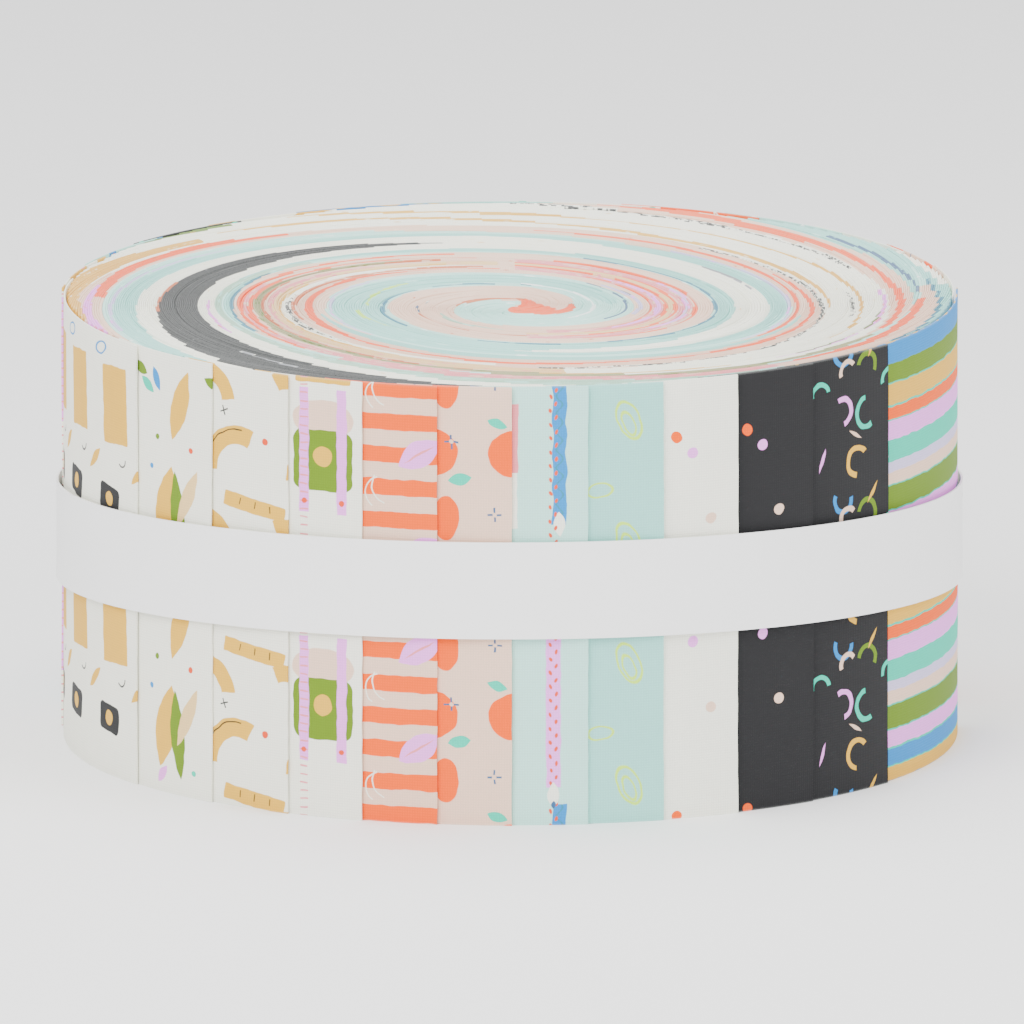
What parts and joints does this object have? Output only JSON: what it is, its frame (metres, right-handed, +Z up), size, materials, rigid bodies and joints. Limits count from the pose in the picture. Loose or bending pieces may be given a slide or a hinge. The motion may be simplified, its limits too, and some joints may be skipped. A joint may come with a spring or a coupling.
{
  "type": "rolled fabric strips with paper band",
  "caption": "Round roll of printed cotton strips wound from the middle, their ends lapped round the side, held by a plain white paper band.",
  "frame": {"origin": "middle of the flat underside of the roll", "axes": "+Z up along the winding's axis; -Y is the front; +X is to the right as seen from the front"},
  "size_m": [0.1296, 0.1309, 0.0635],
  "materials": {
    "cotton": "matt printed plain-weave cotton in many colours",
    "paper": "smooth white paper, no print"
  },
  "bodies": {
    "root": {"strip_roll": "cotton", "paper_band": "paper"}
  },
  "joints": []
}
